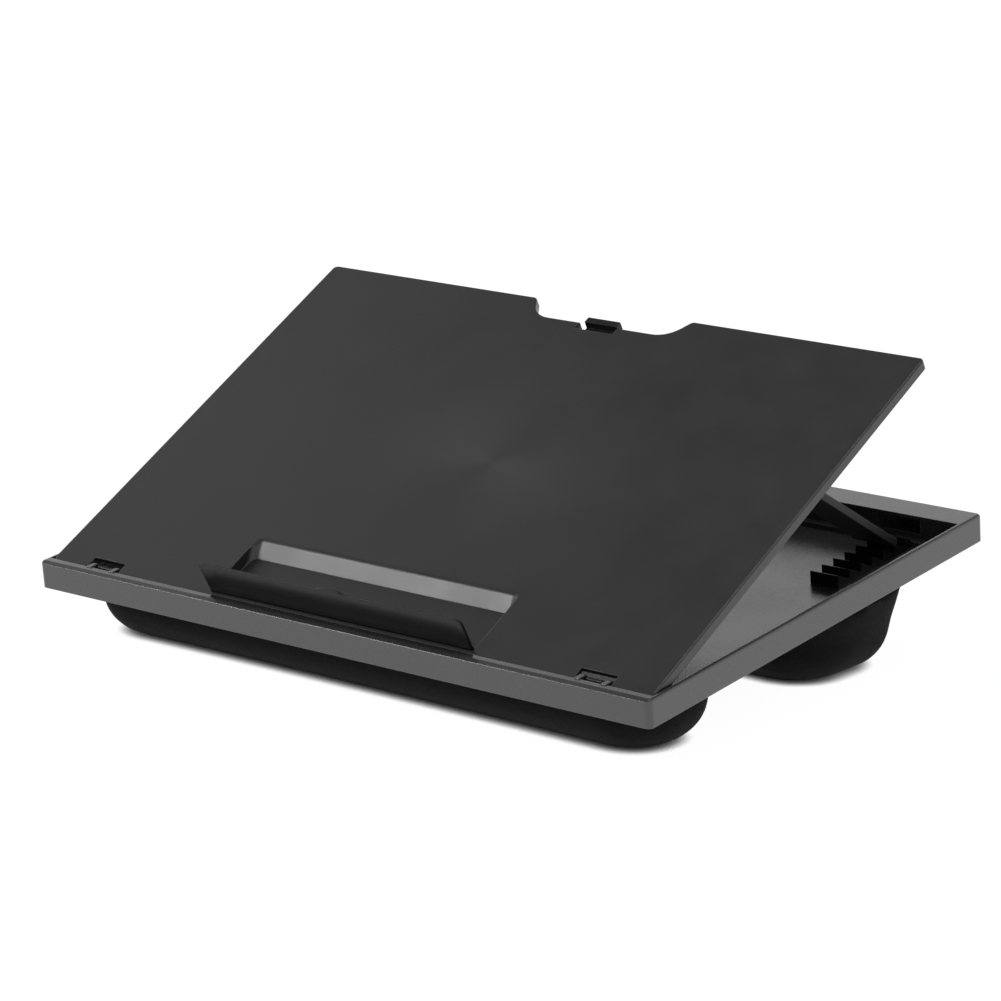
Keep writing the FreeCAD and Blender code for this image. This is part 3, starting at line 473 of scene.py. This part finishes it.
def flap_form(half):
    """The profile carried along X, its height trimmed to rounded corners, raised at the thumb bump."""
    inner = np.linspace(-half + FLAP_END_ROUND, half - FLAP_END_ROUND, ACROSS_STEPS)
    ends = FLAP_END_ROUND * np.cos(np.linspace(0.0, math.pi / 2, END_STEPS))[:-1]
    across = np.concatenate([-half + FLAP_END_ROUND - ends, inner[1:-1],
                             (half - FLAP_END_ROUND + ends)[::-1]])
    over = np.clip((np.abs(across) - (half - FLAP_CORNER)) / FLAP_CORNER, 0.0, 1.0)
    thumb = np.clip(np.abs(across - THUMB_PLACE) / THUMB_HALF, 0.0, 1.0)
    height = FLAP_HEIGHT - FLAP_CORNER * (1 - np.sqrt(1 - over ** 2))
    height = height + THUMB_RISE * (1 - thumb ** THUMB_SQUARENESS)
    profile = flap_profile()
    past = np.maximum(np.abs(across) - (half - FLAP_END_ROUND), 0.0) / FLAP_END_ROUND
    thin = END_THIN + (1 - END_THIN) * np.sqrt(np.clip(1 - past ** 2, 0.0, 1.0))
    ease = np.clip((np.abs(across) - half + FLAP_HOLLOW_END) / FLAP_HOLLOW_END, 0.0, 1.0)
    hollow = FLAP_HOLLOW * (1 - ease ** 2)
    along = np.where(profile[:, 0] > FLAP_BARREL, profile[:, 0], 0.0)[None, :]
    low = profile[:, 0][None, :] + np.zeros_like(across)[:, None]
    share = np.clip((along - FLAP_BARREL) / (FLAP_HEIGHT - FLAP_BARREL), 0.0, 1.0)
    reach = low + share * (height - FLAP_HEIGHT)[:, None]
    spine = np.where(profile[:, 0] > FLAP_BARREL, FLAP_BARREL - FLAP_THICKNESS / 2, 0.0)[None, :]
    across_plate = spine + (profile[:, 1][None, :] - spine) * thin[:, None]
    across_plate = across_plate - hollow[:, None] * profile[:, 2][None, :]
    pivot = np.array(joints["ledge_flip"]["pos_m"])
    cosine, sine = math.cos(FLAP_TURN), math.sin(FLAP_TURN)
    points = np.stack([across[:, None] + np.zeros_like(reach),
                       pivot[1] + reach * cosine - across_plate * sine,
                       pivot[2] + reach * sine + across_plate * cosine], axis=-1)
    return points.reshape(-1, 3), ring_faces(len(across), len(profile))


flap_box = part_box("ledge_flap")
ledge_flap = mesh_piece("ledge_plate", *flap_form(float(flap_box[1].x)))
ledge_plastic, _, _ = moulded_plastic("ledge_plastic", LEDGE_BLACK, roughness=0.40, grain=1700.0,
                                      edge=0.0006, specular=0.28)
ledge_flap.data.materials.append(ledge_plastic)
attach(ledge_flap, "ledge")
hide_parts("ledge_flap")

# Latch tab
# A short sprung tongue in the panel's rear cutout, with a finger lip above and a hook below.
# It is moulded in the same plastic as the ledge.
dress(ledge_plastic, "panel_latch")

# Floor, light and camera
# A white sweep under broad soft lamps, seen through a long lens from the right and a little above.
CAMERA_TARGET = np.array([0.09373, -0.12796, 0.13757])
CAMERA_REACH = 2.5
CAMERA_AZIMUTH = math.radians(38.3076)
CAMERA_ELEVATION = math.radians(14.2123)
CAMERA_ROLL = math.radians(0.2263)
CAMERA_LENS = 141.95
SENSOR_WIDTH = 36.0
FLOOR_HALF = 14.0
WHITE = (1.0, 1.0, 1.0, 1.0)
PAPER_WHITE = (0.96, 0.96, 0.96, 1.0)
PAPER_SEEN = (0.1, 0.1, 0.1, 1.0)
CONTACT_REACH = 0.009
LAMP_TARGET = (0.0, 0.0, 0.1)
LAMPS = (
    ("key", (-1.25, -1.45, 1.0), 0.62, 12.5),
    ("left", (-1.2, 0.15, 1.35), 0.7, 0.35),
    ("top", (0.25, 0.1, 2.4), 1.2, 12.0),
)
ROOM_LEVEL = 0.54
CEILING_SHADE = 0.16
CEILING_FROM = 0.44
CEILING_FULL = 0.72


def white_for_lens(tree):
    """1 for rays that show the background itself: from the lens, off gloss, or through glass."""
    path = add_node(tree, "ShaderNodeLightPath").outputs
    shown = add_node(tree, "ShaderNodeMath", {0: path["Is Camera Ray"], 1: path["Is Glossy Ray"]},
                     operation="MAXIMUM")
    return add_node(tree, "ShaderNodeMath", {0: shown.outputs["Value"], 1: path["Is Transmission Ray"]},
                    operation="MAXIMUM").outputs["Value"]


corners = np.array([(-1, -1, 0), (1, -1, 0), (1, 1, 0), (-1, 1, 0)], float) * FLOOR_HALF
floor = mesh_piece("floor", corners, [(0, 1, 2, 3)])
sweep = bpy.data.materials.new("white_sweep")
sweep.use_nodes = True
sweep_tree = sweep.node_tree
sweep_tree.nodes.remove(sweep_tree.nodes["Principled BSDF"])
paper = add_node(sweep_tree, "ShaderNodeBsdfDiffuse", {"Color": PAPER_WHITE})
dimmed = add_node(sweep_tree, "ShaderNodeBsdfDiffuse", {"Color": PAPER_SEEN})
# Ambient occlusion makes the floor's glow fall away near things that stand on it, which paints a contact
# shadow.
open_sky = add_node(sweep_tree, "ShaderNodeAmbientOcclusion", {"Distance": CONTACT_REACH},
                    samples=8).outputs["AO"]
painted_contact_shade = add_node(sweep_tree, "ShaderNodeMapRange",
                {"Value": open_sky, "From Min": 0.1, "From Max": 0.6, "To Min": 0.0, "To Max": 0.97})
glow = add_node(sweep_tree, "ShaderNodeEmission",
                {"Color": WHITE, "Strength": painted_contact_shade.outputs["Result"]})
shown = add_node(sweep_tree, "ShaderNodeAddShader",
                 {0: dimmed.outputs["BSDF"], 1: glow.outputs["Emission"]})
seen = add_node(sweep_tree, "ShaderNodeMixShader",
                {0: white_for_lens(sweep_tree), 1: paper.outputs["BSDF"], 2: shown.outputs["Shader"]})
sweep_tree.links.new(seen.outputs["Shader"], sweep_tree.nodes["Material Output"].inputs["Surface"])
floor.data.materials.append(sweep)

world = bpy.data.worlds.new("studio")
world.use_nodes = True
scene.world = world
studio = world.node_tree
studio.nodes.remove(studio.nodes["Background"])
up = add_node(studio, "ShaderNodeSeparateXYZ",
              {"Vector": add_node(studio, "ShaderNodeTexCoord").outputs["Generated"]}).outputs["Z"]
ceiling = add_node(studio, "ShaderNodeMapRange",
                   {"Value": up, "From Min": CEILING_FROM, "From Max": CEILING_FULL,
                    "To Min": 1.0, "To Max": CEILING_SHADE},
                   interpolation_type="SMOOTHSTEP").outputs["Result"]
room = add_node(studio, "ShaderNodeBackground", {"Color": WHITE, "Strength": ROOM_LEVEL})
white = add_node(studio, "ShaderNodeBackground", {"Color": WHITE, "Strength": ceiling})
backdrop = add_node(studio, "ShaderNodeMixShader",
                    {0: white_for_lens(studio), 1: room.outputs["Background"],
                     2: white.outputs["Background"]})
studio.links.new(backdrop.outputs["Shader"], studio.nodes["World Output"].inputs["Surface"])


def facing(place, target, roll=0.0):
    """Axes that look from a place to a target with Z upwards, then roll about that line."""
    ahead = (target - place) / np.linalg.norm(target - place)
    right = np.cross(ahead, (0.0, 0.0, 1.0))
    right /= np.linalg.norm(right)
    up = np.cross(right, ahead)
    turned = right * math.cos(roll) + up * math.sin(roll)
    pose = np.eye(4)
    pose[:3, :] = np.column_stack([turned, np.cross(turned, ahead), -ahead, place])
    return Matrix(pose.tolist())


for name, place, size, power in LAMPS:
    lamp = bpy.data.lights.new(name, "AREA")
    lamp.shape = "DISK"
    lamp.size = size
    lamp.energy = power
    holder = bpy.data.objects.new(name, lamp)
    holder.matrix_world = facing(np.array(place), np.array(LAMP_TARGET))
    scene.collection.objects.link(holder)

backwards = np.array([math.sin(CAMERA_AZIMUTH) * math.cos(CAMERA_ELEVATION),
                      -math.cos(CAMERA_AZIMUTH) * math.cos(CAMERA_ELEVATION),
                      math.sin(CAMERA_ELEVATION)])
lens = bpy.data.cameras.new("camera")
lens.lens = CAMERA_LENS
lens.sensor_width = SENSOR_WIDTH
camera = bpy.data.objects.new("camera", lens)
camera.matrix_world = facing(CAMERA_TARGET + backwards * CAMERA_REACH, CAMERA_TARGET,
                             CAMERA_ROLL)
scene.collection.objects.link(camera)
scene.camera = camera
scene.view_settings.view_transform = "Standard"
